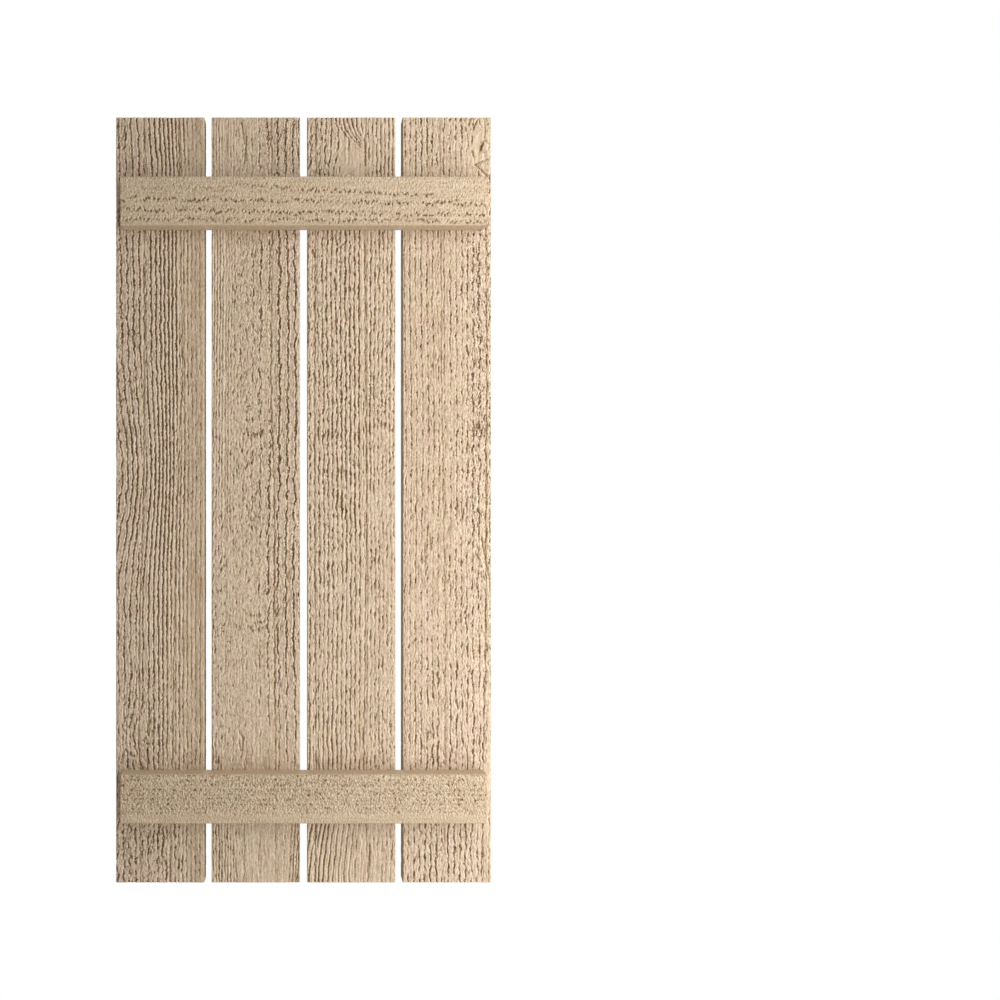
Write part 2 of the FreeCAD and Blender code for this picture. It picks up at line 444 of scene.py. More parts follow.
BOARD_GRAIN = {
    "board_1": Grain(
        seed=10,
        spacing_mm=(10, 9.6, 10, 7.4, 6.3, 6.0, 6.5, 8),
        waver_mm=(1.2, 1.2, 1.0, 0.6, 0.3, 0.3, 0.6),
        lines=(
            (0.9, 1.1, 1.2, 1.2, 1.2, 0.4, 0.4),
            (1.0, 1.2, 1.2, 1.2, 1.2, 0.4, 0.4),
            (1.1, 1.2, 1.3, 1.2, 1.2, 0.4, 0.4),
            (1.1, 1.2, 1.2, 1.2, 1.1, 0.5, 0.5),
            (0.8, 1.0, 1.1, 1.1, 0.9, 0.5, 0.5),
            (0.3, 0.9, 1.0, 0.9, 0.7, 0.5, 0.6),
            (1.2, 1.1, 0.9, 0.9, 0.8, 0.5, 0.5),
        ),
        chips=(
            (0.7, 0.5, 0.3, 0.2, 0.2, 0.3, 0.3),
            (0.8, 0.6, 0.5, 0.4, 0.3, 0.3, 0.3),
            (0.8, 0.6, 0.6, 0.4, 0.3, 0.4, 0.3),
            (0.6, 0.4, 0.4, 0.3, 0.4, 0.4, 0.3),
            (0.6, 0.5, 0.3, 0.2, 0.3, 0.2, 0.2),
            (0.5, 0.9, 0.9, 0.6, 0.5, 0.4, 0.3),
            (0.8, 0.8, 0.8, 0.8, 0.6, 0.3, 0.3),
        ),
        grooves_mm=((0.9, -33, -35, -35, -28, -27, -27, -27), (0.9, 14, 18, 21, 25, 34, 31, 28)),
        sweeps=((0.05, 0.53, 0.36, 0.095, -22), (0.45, 0.93, 0.4, 0.05, -5)),
        shades=((0.93, 0.5, 22, 1400, 0.16),),
        arches=((0.2, 0.19, 16, 45, 1.6),),
    ),
    "board_2": Grain(
        seed=20,
        spacing_mm=(4.6, 4.6, 5, 14, 16, 12.5, 10),
        waver_mm=(0.6, 0.7, 0.9, 1.2, 1.6, 1.6, 1.4),
        lines=(
            (0.6, 0.5, 0.3, 0.5, 1.2, 1.2, 1.2),
            (0.6, 0.6, 0.3, 0.7, 1.4, 1.4, 1.3),
            (0.6, 0.6, 0.2, 0.6, 1.4, 1.4, 1.3),
            (0.5, 0.6, 0.2, 0.6, 1.4, 1.3, 1.2),
            (0.3, 0.3, 0.2, 0.4, 1.1, 1.2, 1.2),
            (0.5, 0.4, 0.3, 0.4, 0.4, 0.6, 0.9),
            (0.7, 0.8, 0.4, 0.3, 0.3, 0.4, 0.9),
        ),
        chips=(
            (0.2, 0.2, 0.4, 0.5, 0.8, 0.8, 0.8),
            (0.2, 0.3, 0.8, 0.9, 0.8, 0.7, 0.7),
            (0.2, 0.4, 0.8, 0.9, 0.8, 0.7, 0.7),
            (0.4, 0.5, 0.8, 0.9, 0.8, 0.7, 0.7),
            (0.8, 0.7, 0.6, 0.8, 0.8, 0.7, 0.7),
            (0.5, 0.5, 0.5, 0.4, 0.3, 0.4, 0.6),
            (0.3, 0.3, 0.3, 0.2, 0.3, 0.5, 0.6),
        ),
        grooves_mm=((0.4, -50, -50, -49, -50, -49, -48, -48), (0.9, 30, 30, 28, 28, 22, 25, 23)),
        sweeps=((0.95, 0.0, 0.3, 0.09, 6),),
        arches=((0.18, 0.21, 14, 14, -2.4),),
        calm=((0.71, 0.02, 10, 70, 0.6),),
        spots=((0.37, 0.667, 2.2, 1.0), (0.3, 0.655, 1.6, 0.6)),
        cracks=(
            (0.33, 0.995, 0.37, 0.965, 0.9), (0.39, 0.975, 0.36, 0.94, 0.9), (0.3, 0.185, 0.33, 0.17, 0.7),
            (0.36, 0.19, 0.33, 0.165, 0.8), (0.36, 0.0, 0.36, 0.16, 0.6), (0.86, 0.0, 0.9, 0.085, 0.5),
            (0.9, 0.0, 0.94, 0.085, 0.8), (0.935, 0.0, 0.97, 0.085, 0.8), (0.965, 0.0, 0.995, 0.085, 0.7),
        ),
        shades=((0.12, 0.6, 30, 420, -0.03),),
    ),
    "board_3": Grain(
        seed=30,
        spacing_mm=(7.4, 7.2, 7.2, 6.8, 6.3, 6.3, 6.3),
        waver_mm=(1.1, 1.1, 1.0, 0.8, 0.5, 0.6, 0.6),
        lines=(
            (0.8, 0.9, 0.9, 1.0, 0.7, 0.7, 0.8),
            (0.8, 0.9, 0.9, 1.0, 0.8, 0.6, 0.8),
            (0.8, 0.9, 0.9, 1.0, 0.9, 0.6, 0.7),
            (0.8, 0.9, 0.9, 0.9, 0.7, 0.4, 0.5),
            (0.7, 0.7, 0.7, 0.7, 0.6, 0.4, 0.5),
            (0.8, 0.8, 0.8, 0.7, 0.6, 0.5, 0.3),
            (1.1, 1.1, 0.6, 0.6, 0.5, 0.3, 0.4),
        ),
        chips=(
            (0.8, 0.7, 0.4, 0.2, 0.4, 0.3, 0.3),
            (0.8, 0.6, 0.6, 0.5, 0.3, 0.6, 0.4),
            (0.8, 0.6, 0.6, 0.5, 0.4, 0.6, 0.4),
            (0.7, 0.6, 0.6, 0.5, 0.4, 0.5, 0.4),
            (0.7, 0.6, 0.5, 0.4, 0.4, 0.5, 0.4),
            (0.3, 0.2, 0.3, 0.4, 0.4, 0.6, 0.5),
            (0.1, 0.05, 0.05, 0.1, 0.2, 0.3, 0.4),
        ),
        grooves_mm=((0.9, -59, -58, -59, -60, -60, -59, -58), (0.8, 25, 18, 21, 23, 21, 20, 21)),
        sweeps=((0.3, 0.0, 0.5, 0.08, 7),),
        arches=((0.0, 0.0, 75, 85, 1.8),),
        seams=((0.645, 0.984, 0.952, 0.37),),
        calm=((0.53, 0.94, 18, 24, 0.9), (0.68, 0.04, 8, 50, 0.5)),
        spots=((0.57, 0.408, 2.0, 0.7),),
        cracks=(
            (0.645, 0.968, 0.65, 0.938, 1.0), (0.96, 0.055, 0.94, 0.03, 0.8), (0.7, 0.05, 0.69, 0.02, 0.8),
        ),
        shades=((0.85, 0.45, 60, 500, 0.05), (0.45, 0.12, 40, 150, 0.05)),
    ),
    "board_4": Grain(
        seed=40,
        spacing_mm=(8, 9.5, 8.5, 10, 8.5, 10, 8),
        waver_mm=(0.6, 0.8, 1.0, 1.0, 1.2, 1.6, 1.2),
        lines=(
            (0.5, 0.8, 0.8, 0.7, 0.7, 0.8, 0.7),
            (0.5, 0.7, 0.7, 0.6, 0.7, 1.0, 0.9),
            (0.5, 0.6, 0.6, 0.6, 0.6, 1.0, 0.9),
            (0.5, 0.5, 0.5, 0.5, 0.6, 0.8, 0.8),
            (0.5, 0.5, 0.5, 0.6, 0.6, 0.7, 0.8),
            (0.5, 0.8, 0.8, 0.8, 0.8, 0.8, 0.5),
            (0.5, 0.8, 0.9, 0.9, 0.9, 0.9, 0.6),
        ),
        chips=(
            (0.4, 0.5, 0.6, 0.5, 0.5, 0.7, 0.5),
            (0.4, 0.4, 0.5, 0.4, 0.6, 1.0, 0.9),
            (0.4, 0.5, 0.5, 0.4, 0.5, 1.0, 1.0),
            (0.4, 0.4, 0.5, 0.5, 0.6, 0.8, 0.8),
            (0.4, 0.5, 0.5, 0.5, 0.6, 0.7, 0.7),
            (0.5, 0.6, 0.6, 0.5, 0.5, 0.5, 0.3),
            (0.5, 0.6, 0.6, 0.5, 0.5, 0.5, 0.2),
        ),
        grooves_mm=((0.6, -7, -4, -4, -7, -10, -11, -13), (0.9, 54, 57, 60, 61, 62, 61, 58)),
        arches=((0.93, 0.965, 17, 26, -2.6),),
        calm=((0.87, 0.957, 19, 34, 0.85), (0.72, 0.94, 14, 18, 0.5), (0.53, 0.462, 13, 14, 0.6)),
        knots=((0.915, 0.9624, 6.8, 1.0), (0.54, 0.461, 7.0, 0.4)),
        spots=(
            (0.905, 0.9389, 1.2, 0.7), (0.95, 0.94, 1.2, 0.7),
            (0.646, 0.45, 1.8, 0.9), (0.231, 0.46, 1.5, 0.7),
        ),
        cracks=(
            (0.808, 0.9389, 0.9515, 0.9454, 1.1), (0.808, 0.9389, 0.874, 0.9323, 1.1),
            (0.874, 0.9323, 0.952, 0.9232, 1.2), (0.776, 0.975, 0.772, 0.967, 0.9),
            (0.776, 0.957, 0.793, 0.9495, 0.9), (0.737, 0.99, 0.757, 1.0, 0.9),
            (0.786, 0.984, 0.8414, 0.9975, 1.0), (0.675, 0.488, 0.668, 0.4755, 0.9),
            (0.882, 0.4504, 0.922, 0.4253, 0.9), (0.922, 0.4253, 0.985, 0.3861, 0.8),
            (0.2445, 0.4436, 0.2445, 0.4136, 0.6), (0.3, 0.4531, 0.31, 0.4345, 0.7),
        ),
        shades=((0.3, 0.75, 70, 300, 0.09), (0.4, 0.45, 90, 260, 0.06), (0.945, 0.961, 3.5, 7, -0.2)),
    ),
}


def bump(bar, across, up, half_width_mm, half_height_mm):
    """1 at a place on the bar, easing to 0 around it."""
    aside = (bar.girth_mm - across * bar.width / MM) / half_width_mm
    above = (bar.along_mm - up * bar.length / MM) / half_height_mm
    return np.exp(-aside ** 2 - above ** 2)


def along_width(bar, values):
    """Values given at even steps across the board, eased between them."""
    return np.interp(bar.girth_mm / (bar.width / MM), np.linspace(0, 1, len(values)), values)


def over_face(bar, rows):
    """A table over the face, top row first, eased between its values."""
    levels = np.linspace(len(rows) - 1, 0, bar.rows + 1)
    columns = np.array([along_width(bar, row)[0] for row in rows])
    lower = np.minimum(np.floor(levels).astype(int), len(rows) - 2)
    share = (levels - lower)[:, None]
    return columns[lower] * (1 - share) + columns[lower + 1] * share


def grain_wander(bar, grain):
    """How far the grain strays sideways at each point, in mm."""
    girth, along = bar.girth_mm, bar.along_mm
    wander = DRIFT_MM * clouds(girth, along, DRIFT_NOISE, grain.seed)
    for across, up, half_width, half_height, shift_mm in grain.sweeps:
        reach_mm = (half_width * bar.width / MM, half_height * bar.length / MM)
        wander = wander + shift_mm * bump(bar, across, up, *reach_mm)
    waver = clouds(girth, along, WAVER_NOISE, grain.seed)
    fine_waver = clouds(girth, along, FINE_WAVER_NOISE, grain.seed)
    return wander + along_width(bar, grain.waver_mm) * (waver + fine_waver / 2)


def grain_jags(bar, grain):
    """How far the grain lines jump aside where the face breaks up, in mm."""
    reach_mm = LEAST_JAG_MM + CHIP_JAG_MM * np.minimum(over_face(bar, grain.chips), 1)
    return reach_mm * clouds(bar.girth_mm, bar.along_mm, JAG_NOISE, grain.seed)


def ring_count(bar, grain, wander):
    """Counts the grain lines from the left edge, with whole numbers on the grooves."""
    width_mm = bar.width / MM
    margin_mm = bar.thickness / MM + COUNT_MARGIN_MM
    reach = np.linspace(-margin_mm, width_mm + margin_mm, COUNT_SAMPLES)
    even_steps = np.linspace(0, 1, len(grain.spacing_mm))
    spacing = np.interp(reach / width_mm, even_steps, grain.spacing_mm)
    counted = np.concatenate([[0], np.cumsum(np.diff(reach) / spacing[1:])])
    rings = np.interp(bar.girth_mm + wander, reach, counted)
    for *patch, count in grain.arches:
        rings = rings + count * bump(bar, *patch)
    for across, top, bottom, first_across in grain.seams:
        last = np.interp(across * width_mm, reach, counted)
        first = np.floor(np.interp(first_across * width_mm, reach, counted)) + 0.5
        aside_mm = bar.girth_mm + wander - across * width_mm
        turned = turned_to_seam(bar, rings, aside_mm, top, bottom, first, last)
        rings = np.where(aside_mm < 0, turned, rings)
    return rings


def turned_to_seam(bar, rings, aside_mm, top, bottom, first, last):
    """The count where lines turn aside to a seam. It is held under a limit that climbs up the
    seam from its first line to past its last. Below the seam the limit stays at the first line,
    so the board is calm there, and then climbs again."""
    shares = [bottom - SEAM_FADE_SHARE, bottom - SEAM_CALM_SHARE, bottom, top]
    heights_mm = np.array(shares) * bar.length / MM
    highest = last + SEAM_SPARE_LINES
    level_mm = bar.along_mm + SEAM_SLOPE * np.minimum(aside_mm, 0)
    limit = np.interp(level_mm, heights_mm, (highest, first, first, highest))
    return -np.logaddexp(-SEAM_EASE * rings, -SEAM_EASE * limit) / SEAM_EASE


def crack_wear(bar, crack):
    """A fine ragged crack between two places on the face."""
    across, up, to_across, to_up, depth = crack
    x, z = across * bar.width / MM, up * bar.length / MM
    run_x, run_z = to_across * bar.width / MM - x, to_up * bar.length / MM - z
    aside, above = bar.girth_mm - x, bar.along_mm - z
    share = np.clip((aside * run_x + above * run_z) / (run_x ** 2 + run_z ** 2), 0, 1)
    stray = CRACK_STRAY_MM * clouds(bar.girth_mm, bar.along_mm, CRACK_NOISE, round(x) + round(z))
    away = np.hypot(aside - share * run_x + stray, above - share * run_z)
    return depth * np.exp(-(away / CRACK_HALF_WIDTH_MM) ** 2)


def knot_wear(bar, knot):
    """A small knot: a sunk ring with a deep slanting heart in its left half."""
    across, up, radius, depth = knot
    aside = bar.girth_mm - across * bar.width / MM
    above = (bar.along_mm - up * bar.length / MM) / KNOT_TALLNESS
    from_ring = (np.hypot(aside, above) - radius) / KNOT_RING_HALF_WIDTH_MM
    ring = KNOT_RING_DEPTH * np.exp(-from_ring ** 2)
    slanting = aside + KNOT_HEART_ASIDE * radius - KNOT_HEART_LEAN * above
    from_heart = (slanting / (KNOT_HEART_BREADTH * radius)) ** 2
    heart = np.exp(-from_heart - (above / (KNOT_HEART_HEIGHT * radius)) ** 2)
    return depth * np.maximum(ring, KNOT_HEART_DEPTH * heart)


def spot_wear(bar, spot):
    """A single small pit."""
    across, up, radius, depth = spot
    return depth * bump(bar, across, up, radius, radius)


def main_grooves(bar, grain):
    """The grooves that the board's solid has too. Gives the boldness of each, how many of its
    half widths away it is, and noise along its run that breaks it up."""
    girth, along = bar.girth_mm, bar.along_mm
    for number, (strength, *distances_mm) in enumerate(grain.grooves_mm):
        heights_mm = np.linspace(0, bar.length / MM, len(distances_mm))
        middle = np.interp(along, heights_mm, distances_mm) + bar.width / MM / 2
        stray = MAIN_GROOVE_STRAY_MM * clouds(girth, along, GROOVE_STRAY_NOISE, grain.seed + number)
        away = (girth - middle + stray) / MAIN_GROOVE_HALF_WIDTH_MM
        yield strength, away, clouds(0, along, GROOVE_BREAK_NOISE, grain.seed + number)


def calm_share(bar, grain):
    """1 where the board is worn as elsewhere, and less in its calm places."""
    calm = 1
    for *patch, share in grain.calm:
        calm = calm * (1 - share * bump(bar, *patch))
    return calm


def line_boldness(bar, grain, line, calm, chips):
    """How bold each grain line is. Where the face breaks up, a line swells and thins like beads."""
    middle = line + 0.5
    beads = BEAD_SHARE * clouds(middle, bar.along_mm, BEAD_NOISE, grain.seed)
    long_beads = LONG_BEAD_SHARE * clouds(middle, bar.along_mm, LONG_BEAD_NOISE, grain.seed)
    swell = 1 + chips * (beads + long_beads)
    return calm * over_face(bar, grain.lines) * (swell + CHIP_BOLDNESS * chips)


def torn_flecks(bar, grain, wander, chips):
    """Short flecks torn out along the grain, some of them aslant."""
    girth, along = bar.girth_mm, bar.along_mm
    slant = STREAK_SLANT * along * clouds(girth, along, SLANT_NOISE, grain.seed)
    streaks = clouds(girth + wander + slant, along, STREAK_NOISE, grain.seed)
    grit = clouds(girth + wander, along, GRIT_NOISE, grain.seed)
    return FLECK_STRENGTH * chips * (STREAK_SHARE * streaks + GRIT_SHARE * grit - FLECK_THRESHOLD)


def board_shade(bar, grain):
    """How much darker the finish is: painted shade on the sides and rounded edges, and patches of the
    face.
    """
    # Painted shade on the sides and rounded front edges
    shade = PAINTED_SIDE_SHADE * (1 - bar.front)
    for *patch, amount in grain.shades:
        shade = shade + amount * bump(bar, *patch)
    return shade


def wear_board(bar, grain):
    """Depth worn off a board at each point, in mm, and the layers that its finish draws the grain from:
    rings counts the grain lines, spacing is their pitch in mm, boldness is their strength, ragged is how
    far they stray, flecks roughens them, marks holds the main grooves, cracks, knots and pits, and shade
    holds the painted shade of the sides and darkens whole patches."""
    girth, along = bar.girth_mm, bar.along_mm
    wander = grain_wander(bar, grain)
    rings = ring_count(bar, grain, wander + grain_jags(bar, grain))
    slope_up, slope_across = np.gradient(rings, along[:, 0], girth[0])
    spacing = 1 / np.clip(np.hypot(slope_up, slope_across), *LINES_PER_MM)
    line = np.rint(rings)
    away_mm = np.abs(rings - line) * spacing
    calm = calm_share(bar, grain)
    chips = calm * over_face(bar, grain.chips)
    boldness = line_boldness(bar, grain, line, calm, chips)
    flecks = torn_flecks(bar, grain, wander, chips)
    marks = np.zeros_like(girth)
    for strength, away, breaks in main_grooves(bar, grain):
        cleared = np.exp(-(away / CLEARED_HALF_WIDTHS) ** 2)
        boldness = boldness * (1 - CLEARED_SHARE * strength * cleared)
        broken = calm * strength * (MAIN_GROOVE_LEVEL + MAIN_GROOVE_BREAKS * breaks)
        marks = np.maximum(marks, broken * np.exp(-away ** 2))
    for wear_of, places in (
        (crack_wear, grain.cracks), (knot_wear, grain.knots), (spot_wear, grain.spots),
    ):
        for place in places:
            marks = np.maximum(marks, wear_of(bar, place))
    growth = FAINT_GROOVE_SHARE + BOLD_GROOVE_GROWTH * np.clip(boldness, 0, MOST_BOLD)
    groove = np.exp(-(away_mm / (GROOVE_HALF_WIDTH_MM * growth)) ** 2)
    wear = np.maximum(smooth_step(*WEAR_AND_SHADE_RANGE, boldness * groove + flecks), marks)
    lip = boldness * np.exp(-((away_mm - LIP_AWAY_MM) / LIP_HALF_WIDTH_MM) ** 2)
    fibres = 0.5 + 0.5 * clouds(girth + wander, along, FIBRE_NOISE, grain.seed)
    depth = LIP_HEIGHT_MM * (1 - lip) + GROOVE_DEPTH_MM * wear + FIBRE_DEPTH_MM * fibres
    share = SIDE_SHARE + (1 - SIDE_SHARE) * bar.front
    layers = {
        "rings": rings, "spacing": spacing, "boldness": boldness * share, "ragged": chips,
        "flecks": flecks * share, "marks": marks * share, "shade": board_shade(bar, grain),
    }
    return depth * share, layers


@dataclass
class Pitting:
    """How one batten's face is stippled and pitted. Places on it are in mm from its lower left
    corner."""
    seed: int
    stipple_mm: float
    stipple_share: float
    # The depth of the scattered pits
    pit_share: float
    # The height of the smooth strip along the lower edge
    smooth_foot_mm: float
    # How much darker the whole batten is
    shade: float
    # Start and end along the batten, height at each of them, and boldness
    rows: tuple
    # Place along the batten, height and radius
    spots: tuple


BATTEN_PITTING = {
    "top_batten": Pitting(
        seed=50, stipple_mm=2.4, stipple_share=0.6, pit_share=0.45, smooth_foot_mm=3, shade=0.15,
        rows=(
            (0, 573, 41, 33, 1.2), (0, 573, 25, 15, 1.2), (0, 573, 9.5, 6, 1.0),
            (215, 490, 60, 47, 1.1), (30, 230, 57, 62, 0.6), (60, 180, 68, 50, 0.5),
        ),
        spots=((525, 39, 2.4), (548, 35, 1.8)),
    ),
    "bottom_batten": Pitting(
        seed=60, stipple_mm=2.2, stipple_share=0.9, pit_share=0.85, smooth_foot_mm=13, shade=0.13,
        rows=((60, 460, 62, 60, 0.5), (100, 520, 50, 48, 0.4), (80, 500, 38, 37, 0.4)),
        spots=((219, 29, 2.6),),
    ),
}


def pit_row(bar, seed, row):
    """A zigzag row of small pits along a batten."""
    start, end, from_height, to_height, bold = row
    along, ease = bar.along_mm, ROW_END_EASE_MM
    height = np.interp(along, (start, end), (from_height, to_height))
    height = height + ZIGZAG_MM * clouds(along, 0, ZIGZAG_NOISE, seed)
    height = height + BEND_MM * clouds(along, 0, BEND_NOISE, seed)
    pits = smooth_step(*ROW_PIT_RANGE, clouds(along, bar.girth_mm, ROW_PIT_NOISE, seed))
    ended = smooth_step(end - ease, end + ease, along)
    within = smooth_step(start - ease, start + ease, along) * (1 - ended)
    return bold * pits * within * np.exp(-((bar.girth_mm - height) / ROW_HALF_HEIGHT_MM) ** 2)


def stipple_height(bar, pitting):
    """The stipple's height from about 0 to 1, as coarse noise with finer noise on it."""
    place = (bar.along_mm, bar.girth_mm)
    coarse = clouds(*place, STIPPLE_NOISE, pitting.seed, pitting.stipple_mm)
    fine = clouds(*place, FINE_STIPPLE_NOISE, pitting.seed, pitting.stipple_mm)
    return STIPPLE_LEVEL + STIPPLE_SWING * (coarse + FINE_STIPPLE_SHARE * fine)


def pit_wear(bar, pitting, smooth_foot):
    """How deep each point lies in a pit: scattered ones in faint rows, set rows and spots."""
    girth, along = bar.girth_mm, bar.along_mm
    scattered = smooth_step(*PIT_RANGE, clouds(along, girth, PIT_NOISE, pitting.seed))
    drift = ROW_DRIFT_MM * clouds(along, girth, ROW_DRIFT_NOISE, pitting.seed)
    in_row = 0.5 + 0.5 * np.cos(2 * math.pi * (girth + drift) / PIT_ROW_PITCH_MM)
    wear = pitting.pit_share * scattered * in_row * smooth_foot
    for number, row in enumerate(pitting.rows):
        seed = pitting.seed + FIRST_ROW_SEED + SEEDS_PER_ROW * number
        wear = np.maximum(wear, pit_row(bar, seed, row))
    for place, height, radius in pitting.spots:
        away = np.hypot(along - place, girth - height)
        wear = np.maximum(wear, np.exp(-(away / radius) ** 2))
    return wear


def wear_batten(bar, pitting):
    """Depth worn off a batten's front, in mm, and the layers of its finish: tone is darker where it is
    high, with painted shade in the pits and hollows and on the top and bottom faces, and rough is how
    strong its mottling is."""
    girth, along = bar.girth_mm, bar.along_mm
    foot = pitting.smooth_foot_mm
    smooth_foot = smooth_step(foot - FOOT_EASE_MM, foot + FOOT_EASE_MM, girth)
    wear = pit_wear(bar, pitting, smooth_foot)
    foot_stipple = FOOT_STIPPLE_SHARE + (1 - FOOT_STIPPLE_SHARE) * smooth_foot
    stipple = pitting.stipple_share * stipple_height(bar, pitting) * foot_stipple
    combed = clouds(along, girth, COMB_NOISE, pitting.seed)
    depth = STIPPLE_DEPTH_MM * stipple + PIT_DEPTH_MM * wear + COMB_DEPTH_MM * (1 + combed)
    # Painted shade in the pits and in the deeper stipple and comb marks
    tone = PIT_SHADE_TONE * wear + STIPPLE_SHADE_TONE * smooth_step(*STIPPLE_TONE_RANGE, stipple)
    tone = tone + COMB_SHADE_TONE * combed + pitting.shade + FOOT_TONE * (1 - smooth_foot)
    # Painted shade on the top and bottom faces and rounded edges
    tone = np.clip(tone, 0, 1) * bar.front + PAINTED_SIDE_SHADE * (1 - bar.front)
    patches = ROUGH_LEVEL + ROUGH_SWING * clouds(along, girth, ROUGH_NOISE, pitting.seed)
    rough = pitting.stipple_share * patches * (FOOT_ROUGH_SHARE + (1 - FOOT_ROUGH_SHARE) * smooth_foot)
    rough = rough * bar.front + SIDE_ROUGH * (1 - bar.front)
    return depth * bar.front, {"tone": tone, "rough": rough}


class Finish:
    """A material in the making. Its methods take other nodes' results or plain numbers, and
    most of them return what the node gives that they add."""

    def __init__(self, name, roughness, specular):
        self.material = bpy.data.materials.new(name)
        self.material.use_nodes = True
        self.nodes = self.material.node_tree.nodes
        self.links = self.material.node_tree.links
        self.shader = self.nodes["Principled BSDF"]
        self.shader.inputs["Roughness"].default_value = roughness
        self.shader.inputs["Specular IOR Level"].default_value = specular
        self.place = self.nodes.new("ShaderNodeTexCoord").outputs["Object"]

    def feed(self, sockets, values):
        """Gives each socket its value, as a link or as a plain number or colour."""
        for socket, value in zip(sockets, values):
            if isinstance(value, bpy.types.NodeSocket):
                self.links.new(value, socket)
            else:
                socket.default_value = value

    def noise(self, scale, stretch=(1, 1, 1), detail=3.0):
        """Clouded noise in place, drawn out along each axis whose stretch is under 1."""
        mapping = self.nodes.new("ShaderNodeMapping")
        mapping.inputs["Scale"].default_value = stretch
        self.links.new(self.place, mapping.inputs["Vector"])
        texture = self.nodes.new("ShaderNodeTexNoise")
        texture.inputs["Scale"].default_value = scale
        texture.inputs["Detail"].default_value = detail
        self.links.new(mapping.outputs["Vector"], texture.inputs["Vector"])
        return texture.outputs["Fac"]

    def clouded(self, scale, stretch, over, to, detail=3.0):
        """Clouded noise, spread from a part of its range to another range."""
        return self.spread(self.noise(scale, stretch, detail), *over, *to)

    def layer(self, name):
        """What the mesh carries under this name."""
        attribute = self.nodes.new("ShaderNodeAttribute")
        attribute.attribute_name = name
        return attribute.outputs["Fac"]

    def maths(self, operation, *values):
        """One step of arithmetic."""
        step = self.nodes.new("ShaderNodeMath")
        step.operation = operation
        self.feed(step.inputs, values)
        return step.outputs[0]

    def spread(self, value, low, high, to_low=0.0, to_high=1.0, ease="LINEAR"):
        """Maps a value's range to another one, clamped."""
        remap = self.nodes.new("ShaderNodeMapRange")
        remap.interpolation_type = ease
        self.feed(remap.inputs, (value, low, high, to_low, to_high))
        return remap.outputs["Result"]

    def mixed(self, kind, factor, first, second):
        """A blend of two colours."""
        mix = self.nodes.new("ShaderNodeMix")
        mix.data_type = "RGBA"
        mix.blend_type = kind
        self.feed((mix.inputs[0], mix.inputs[6], mix.inputs[7]), (factor, first, second))
        return mix.outputs[2]

    def relief(self, depth, strength, distance):
        """Fine relief that is too small for the mesh, sunk where the value is high."""
        bump_node = self.nodes.new("ShaderNodeBump")
        bump_node.invert = True
        bump_node.inputs["Strength"].default_value = strength
        bump_node.inputs["Distance"].default_value = distance
        self.links.new(depth, bump_node.inputs["Height"])
        self.drive("Normal", bump_node.outputs["Normal"])

    def drive(self, name, value):
        """Lets a value set the shader's input of this name."""
        self.links.new(value, self.shader.inputs[name])


# Colours of the primer, from a painted highlight on the ridges to painted shade in the grooves, and of the
# screws' plating
RIDGE_HIGHLIGHT_TAN = (0.64, 0.52, 0.405, 1)
TAN = (0.48, 0.372, 0.262, 1)
GROOVE_SHADE_BROWN = (0.205, 0.117, 0.042, 1)
DEEP_SHADE_BROWN = (0.125, 0.062, 0.018, 1)
GREY_LILAC = (0.50, 0.405, 0.335, 1)
OLIVE_CAST = (0.985, 0.98, 0.915, 1)
PINK_CAST = (1.0, 0.945, 0.93, 1)
WARM_CAST = (1.0, 0.96, 0.90, 1)
LIGHT_ZINC = (0.62, 0.61, 0.58, 1)
DARK_ZINC = (0.48, 0.48, 0.47, 1)

# Tone of the primer, 0 on the ridges with their painted highlight and 1 at the bottoms with their painted
# shade
PAINTED_SIDE_SHADE = 0.28
TAN_TONE = 0.28
BROWN_TONE = 0.86
SAWN_TONE = 0.26
LEAST_TONE = 0.18
GROOVE_SHADE_TONE = 0.66
GROOVE_SHADE_POWER = 1.3
LIP_HIGHLIGHT_TONE = 0.16

# Painted shade of a grain line's core and painted highlight of its lip, in mm from the line's middle
CORE_REACH = 1.75
CORE_REACH_OF_BOLD = 0.4
CORE_EDGE = 0.2
LIP_HIGHLIGHT_RISE = (1.3, 2.3)
LIP_HIGHLIGHT_FALL = (4.2, 2.5)

# How ragged a line is at the least, and what its layer adds
LEAST_RAGGED = 0.12
RAGGED_SHARE = 0.88

# Gloss and fine relief of the finishes
PRIMER_ROUGHNESS = 0.78
PRIMER_SPECULAR = 0.3
SAWN_ROUGHNESS = 0.8
ZINC_ROUGHNESS = (0.28, 0.42)
GRAIN_RELIEF = 1.2 * MM
STIPPLE_RELIEF = 3.4 * MM


def primed_colour(finish, tone, lilac_share, casts):
    """The primer's colour from the painted highlight on the ridges down to the painted shade at the
    bottoms of the grooves, with faint streaks and clouds of other casts."""
    ramp = finish.nodes.new("ShaderNodeValToRGB")
    finish.links.new(tone, ramp.inputs["Fac"])
    stops = ramp.color_ramp.elements
    # Painted highlight at low tone, painted shade at high tone
    stops[0].color = RIDGE_HIGHLIGHT_TAN
    stops[1].color = DEEP_SHADE_BROWN
    for place, colour in ((TAN_TONE, TAN), (BROWN_TONE, GROOVE_SHADE_BROWN)):
        stops.new(place).color = colour
    clouding = finish.clouded(scale=35, stretch=(1, 1, 1), over=(0.35, 0.65), to=(0, 1), detail=2)
    cast = finish.mixed("MIX", clouding, *casts)
    colour = finish.mixed("MIX", lilac_share, ramp.outputs["Color"], GREY_LILAC)
    finish.drive("Base Color", finish.mixed("MULTIPLY", 1.0, colour, cast))


